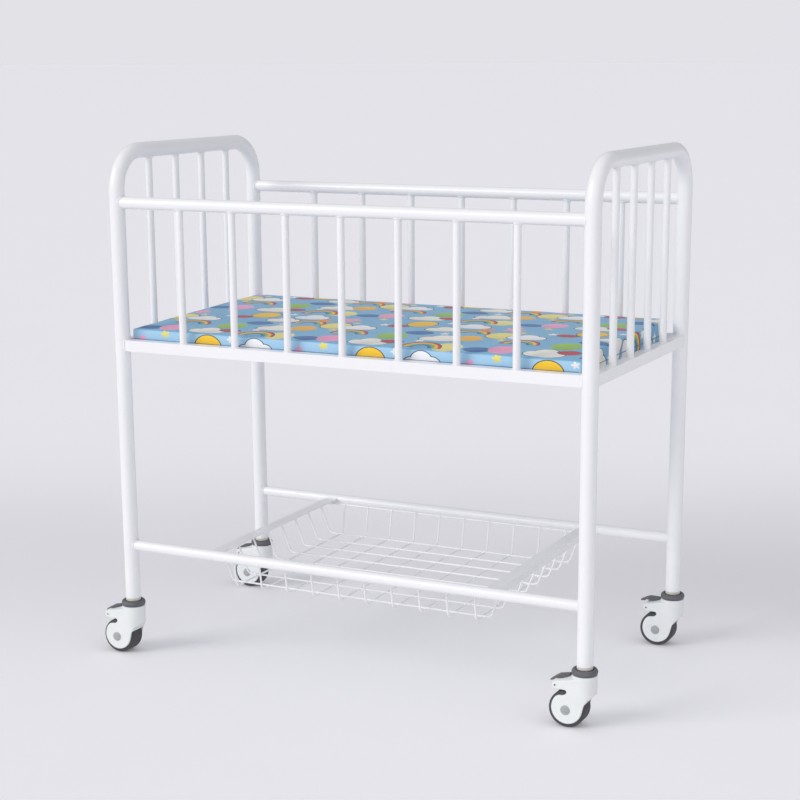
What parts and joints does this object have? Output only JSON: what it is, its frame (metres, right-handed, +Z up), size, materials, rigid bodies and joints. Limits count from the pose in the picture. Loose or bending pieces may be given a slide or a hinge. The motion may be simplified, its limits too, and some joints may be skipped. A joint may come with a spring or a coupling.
{
  "type": "hospital bassinet",
  "caption": "Ward cot for a newborn: white tube frame with barred sides and ends, padded mattress on a raised deck, wire storage basket below and swivel casters with pedal brakes.",
  "frame": {"origin": "on the floor, in the middle of the cot's whole footprint; the casters trail towards the head end, so the tube frame's own middle is 19.5 mm towards the foot end", "axes": "+X from the head end to the foot end, +Y from the front side to the rear side, +Z up"},
  "size_m": [0.996, 0.5246, 0.956],
  "materials": {
    "white_coat": "semi-gloss white powder coat on steel tube and wire",
    "white_plastic": "satin white moulded nylon",
    "dark_plastic": "dark grey moulded plastic, slightly soft",
    "grey_plastic": "mid grey moulded plastic",
    "ivory_plastic": "pale ivory moulded plastic",
    "tyre": "dark grey non-marking tread",
    "steel": "zinc plated steel",
    "cover_fabric": "printed wipe-clean cloth, sky blue with bright motifs",
    "foam": "open-cell foam block"
  },
  "bodies": {
    "frame": {"head_end_hoop": "white_coat", "foot_end_hoop": "white_coat", "head_deck_rail": "white_coat", "foot_deck_rail": "white_coat", "front_deck_rail": "white_coat", "rear_deck_rail": "white_coat", "front_top_rail": "white_coat", "rear_top_rail": "white_coat", "front_lower_rail": "white_coat", "rear_lower_rail": "white_coat", "head_end_bars": "white_coat", "foot_end_bars": "white_coat", "front_side_bars": "white_coat", "rear_side_bars": "white_coat", "deck_slats": "white_coat", "basket_end_strips": "white_coat", "basket_rim_wire": "white_coat", "basket_cross_wires": "white_coat", "basket_long_wires": "white_coat", "leg_plugs": "ivory_plastic", "caster_stems": "steel"},
    "mattress": {"mattress_cover": "cover_fabric", "mattress_core": "foam"},
    "front_head_fork": {"front_head_housing": "white_plastic", "front_head_stem_bush": "steel", "front_head_collar": "dark_plastic", "front_head_axle": "steel", "front_head_axle_caps": "grey_plastic", "front_head_pedal_pin": "steel"},
    "front_head_wheel": {"front_head_hub": "ivory_plastic", "front_head_tyre": "tyre"},
    "front_head_pedal": {"front_head_brake_pedal": "dark_plastic"},
    "front_foot_fork": {"front_foot_housing": "white_plastic", "front_foot_stem_bush": "steel", "front_foot_collar": "dark_plastic", "front_foot_axle": "steel", "front_foot_axle_caps": "grey_plastic", "front_foot_pedal_pin": "steel"},
    "front_foot_wheel": {"front_foot_hub": "ivory_plastic", "front_foot_tyre": "tyre"},
    "front_foot_pedal": {"front_foot_brake_pedal": "dark_plastic"},
    "rear_head_fork": {"rear_head_housing": "white_plastic", "rear_head_stem_bush": "steel", "rear_head_collar": "dark_plastic", "rear_head_axle": "steel", "rear_head_axle_caps": "grey_plastic", "rear_head_pedal_pin": "steel"},
    "rear_head_wheel": {"rear_head_hub": "ivory_plastic", "rear_head_tyre": "tyre"},
    "rear_head_pedal": {"rear_head_brake_pedal": "dark_plastic"},
    "rear_foot_fork": {"rear_foot_housing": "white_plastic", "rear_foot_stem_bush": "steel", "rear_foot_collar": "dark_plastic", "rear_foot_axle": "steel", "rear_foot_axle_caps": "grey_plastic", "rear_foot_pedal_pin": "steel"},
    "rear_foot_wheel": {"rear_foot_hub": "ivory_plastic", "rear_foot_tyre": "tyre"},
    "rear_foot_pedal": {"rear_foot_brake_pedal": "dark_plastic"}
  },
  "joints": [
    {"name": "mattress_lift", "type": "slide", "parent": "frame", "child": "mattress", "axis": [0, 0, 1], "range_m": [0, 0.4]},
    {"name": "front_head_swivel", "type": "hinge", "parent": "frame", "child": "front_head_fork", "pos_m": [-0.4365, -0.238, 0.09], "axis": [0, 0, 1], "continuous": true},
    {"name": "front_head_roll", "type": "hinge", "parent": "front_head_fork", "child": "front_head_wheel", "pos_m": [-0.4625, -0.238, 0.0325], "axis": [0, 1, 0], "continuous": true},
    {"name": "front_head_brake", "type": "hinge", "parent": "front_head_fork", "child": "front_head_pedal", "pos_m": [-0.463, -0.238, 0.085], "axis": [0, 1, 0], "range_deg": [0, 12]},
    {"name": "front_foot_swivel", "type": "hinge", "parent": "frame", "child": "front_foot_fork", "pos_m": [0.4755, -0.238, 0.09], "axis": [0, 0, 1], "continuous": true},
    {"name": "front_foot_roll", "type": "hinge", "parent": "front_foot_fork", "child": "front_foot_wheel", "pos_m": [0.4495, -0.238, 0.0325], "axis": [0, 1, 0], "continuous": true},
    {"name": "front_foot_brake", "type": "hinge", "parent": "front_foot_fork", "child": "front_foot_pedal", "pos_m": [0.449, -0.238, 0.085], "axis": [0, 1, 0], "range_deg": [0, 12]},
    {"name": "rear_head_swivel", "type": "hinge", "parent": "frame", "child": "rear_head_fork", "pos_m": [-0.4365, 0.238, 0.09], "axis": [0, 0, 1], "continuous": true},
    {"name": "rear_head_roll", "type": "hinge", "parent": "rear_head_fork", "child": "rear_head_wheel", "pos_m": [-0.4625, 0.238, 0.0325], "axis": [0, 1, 0], "continuous": true},
    {"name": "rear_head_brake", "type": "hinge", "parent": "rear_head_fork", "child": "rear_head_pedal", "pos_m": [-0.463, 0.238, 0.085], "axis": [0, 1, 0], "range_deg": [0, 12]},
    {"name": "rear_foot_swivel", "type": "hinge", "parent": "frame", "child": "rear_foot_fork", "pos_m": [0.4755, 0.238, 0.09], "axis": [0, 0, 1], "continuous": true},
    {"name": "rear_foot_roll", "type": "hinge", "parent": "rear_foot_fork", "child": "rear_foot_wheel", "pos_m": [0.4495, 0.238, 0.0325], "axis": [0, 1, 0], "continuous": true},
    {"name": "rear_foot_brake", "type": "hinge", "parent": "rear_foot_fork", "child": "rear_foot_pedal", "pos_m": [0.449, 0.238, 0.085], "axis": [0, 1, 0], "range_deg": [-12, 0]}
  ]
}
